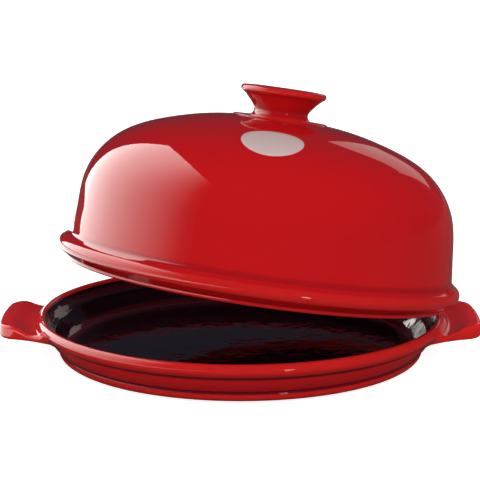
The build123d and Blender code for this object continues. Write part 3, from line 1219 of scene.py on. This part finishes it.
def hang(lamp: bpy.types.Light, centre: Place, target: Place) -> bpy.types.Object:
    """Puts a lamp in the scene, unseen by the camera itself.

    Args:
        lamp: The lamp.
        centre: Where it hangs.
        target: What it faces.

    Returns:
        The lamp's object.
    """
    hung = bpy.data.objects.new(lamp.name, lamp)
    hung.location = centre
    hung.rotation_euler = (Vector(target) - Vector(centre)).to_track_quat("-Z", "Y").to_euler()
    hung.visible_camera = False
    bpy.context.scene.collection.objects.link(hung)
    return hung


@dataclass(frozen=True)
class Panel:
    """A soft light panel that shows in the glaze. Lengths are metres, and the colour is 0 to 255.

    Its face grows brighter from front to back: from a share of its glow at fade_from to all of it at fade_to.
    """

    name: str
    centre: Place
    target: Place
    size: Point
    glow: float
    colour: Colour = (FULL, FULL, FULL)
    fade_from: float = -1.0
    fade_to: float = 1.0
    fade_share: float = 1.0

    def build(self) -> None:
        """Puts the panel in the scene."""
        data = bpy.data.lights.new(self.name, "AREA")
        data.shape = "RECTANGLE"
        data.size, data.size_y = self.size
        data.energy = self.glow * pi * self.size[0] * self.size[1]
        data.color = linear(self.colour)[:3]
        data.use_nodes = True
        tree = data.node_tree
        place = add_node(tree, "NewGeometry", {}).outputs["Position"]
        depth = add_node(tree, "SeparateXYZ", {0: place}).outputs["Y"]
        share = eased(tree, depth, self.fade_from, self.fade_to, lowest=self.fade_share)
        tree.links.new(share, tree.nodes["Emission"].inputs["Strength"])
        hang(data, self.centre, self.target).visible_diffuse = False


@dataclass(frozen=True)
class Spot:
    """A soft spot that lights a handle and doesn't show in its glaze.

    Lengths are metres. The width is the whole angle of its beam in degrees, and the power is in watts.
    """

    name: str
    centre: Place
    target: Place
    width: float = 7.0
    power: float = 30.0
    softness: float = 0.05

    def build(self) -> None:
        """Puts the spot in the scene."""
        data = bpy.data.lights.new(self.name, "SPOT")
        data.energy = self.power
        data.spot_size = radians(self.width)
        data.spot_blend = 1.0
        data.shadow_soft_size = self.softness
        hang(data, self.centre, self.target).visible_glossy = False


SOFTBOX = Panel("Left Softbox", centre=(-1.5, 0.4, 1.68), target=(0.0, 0.4, 1.68), size=(4.2, 3.24), glow=4.5,
                colour=(255, 250, 246), fade_from=-1.6, fade_to=0.8, fade_share=0.02)
PALE_TABLE = Panel("Left Table", centre=(-1.06, -0.3, 0.004), target=(-1.06, -0.3, 1.0), size=(1.7, 2.4),
                   glow=2.8)
REAR_STRIP = Panel("Rear Strip", centre=(1.25, 2.8, 1.05), target=(0.4, 0.0, 1.05), size=(1.1, 0.9), glow=0.6,
                   colour=(255, 238, 228))
FRONT_LAMP = Panel("Front Lamp", centre=(0.85, -1.8, 0.16), target=(0.0, 0.0, 0.1), size=(0.16, 0.1),
                   glow=22.0)
LEFT_SPOT = Spot("Handle Spot", centre=(-0.4, -0.3, 0.85), target=(-0.162, -0.005, 0.025))
RIGHT_SPOT = Spot("Handle Spot", centre=(0.4, -0.3, 0.85), target=(0.162, -0.005, 0.025))


@dataclass
class Studio:
    """The floor, the lights and the camera. Lengths are metres."""

    aim: Place = (0.0, 0.0, 0.08241)
    distance: float = 1.2
    elevation: float = 11.844
    sidestep: float = -0.00028
    lens: float = 126.9
    sensor: float = 36.0
    farthest: float = 50.0
    floor_side: float = 30.0
    floor_squares: int = 24
    floor_colour: Colour = (244, 243, 242)
    floor_roughness: float = 0.9
    floor_glow: float = 0.8
    floor_seen_by_glaze: float = 0.12
    front_light: float = 3.6
    round_light: float = 0.58
    mirrored_room: Colour = (56, 54, 66)
    lights: tuple[Panel | Spot, ...] = (SOFTBOX, PALE_TABLE, REAR_STRIP, FRONT_LAMP, LEFT_SPOT, RIGHT_SPOT)

    def floor(self) -> None:
        """A plain pale floor. Little of it shows in the glaze, as on a dark table round a white sweep."""
        rows = self.floor_squares + 1
        grid = np.linspace(-self.floor_side, self.floor_side, rows) / MM
        points = np.array([(x, y, 0.0) for y in grid for x in grid])
        starts = [j * rows + i for j in range(self.floor_squares) for i in range(self.floor_squares)]
        faces = [(start, start + 1, start + rows + 1, start + rows) for start in starts]
        floor = mesh_object("floor", points, faces, np.zeros(len(points)))
        made, tree, shader = new_material("Floor")
        seen = add_node(tree, "LightPath", {}).outputs["Is Camera Ray"]
        pale = linear(self.floor_colour)
        dim = (*(value * self.floor_seen_by_glaze for value in pale[:3]), 1.0)
        tree.links.new(mixed(tree, seen, dim, pale), shader["Base Color"])
        tree.links.new(sum_of(tree, "MULTIPLY", seen, self.floor_glow), shader["Emission Strength"])
        shader["Emission Color"].default_value = WHITE
        shader["Roughness"].default_value = self.floor_roughness
        shader["Specular IOR Level"].default_value = 0.0
        floor.data.materials.append(made)

    def world(self) -> None:
        """A white room to the eye. It lights from the front, low down, and shows dark in the glaze."""
        world = bpy.data.worlds.new("Room")
        world.use_nodes = True
        tree = world.node_tree
        path = add_node(tree, "LightPath", {}).outputs
        way = add_node(tree, "TexCoord", {}).outputs["Generated"]
        way = add_node(tree, "SeparateXYZ", {0: way}).outputs
        low = eased(tree, way["Z"], start=0.65, end=0.05)
        ahead = eased(tree, way["Y"], start=0.5, end=-0.6)
        band = sum_of(tree, "MULTIPLY", low, ahead)
        feeds = {"Value": band, "To Min": self.round_light, "To Max": self.front_light}
        light = add_node(tree, "MapRange", feeds).outputs["Result"]
        unseen = mixed(tree, path["Is Glossy Ray"], light, linear(self.mirrored_room))
        shown = mixed(tree, path["Is Camera Ray"], unseen, WHITE)
        tree.links.new(shown, tree.nodes["Background"].inputs["Color"])
        bpy.context.scene.world = world

    def camera(self) -> None:
        """The camera at the photograph's viewing angle."""
        data = bpy.data.cameras.new("Camera")
        data.lens = self.lens
        data.sensor_width = self.sensor
        data.clip_end = self.farthest
        camera = bpy.data.objects.new("Camera", data)
        tilt = radians(self.elevation)
        camera.location = Vector(self.aim) + Vector((self.sidestep, -cos(tilt), sin(tilt))) * self.distance
        camera.rotation_euler = (pi / 2 - tilt, 0, 0)
        bpy.context.scene.collection.objects.link(camera)
        bpy.context.scene.camera = camera

    def build(self) -> None:
        """Sets up the studio."""
        bpy.context.scene.view_settings.view_transform = "Standard"
        self.floor()
        self.world()
        for light in self.lights:
            light.build()
        self.camera()


def main() -> None:
    """Builds the cloche and its studio."""
    logging.basicConfig(level=logging.INFO, format="%(message)s")
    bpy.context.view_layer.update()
    for assembly in (Dish(), Lid(), Studio()):
        assembly.build()


if __name__ == "__main__":
    main()
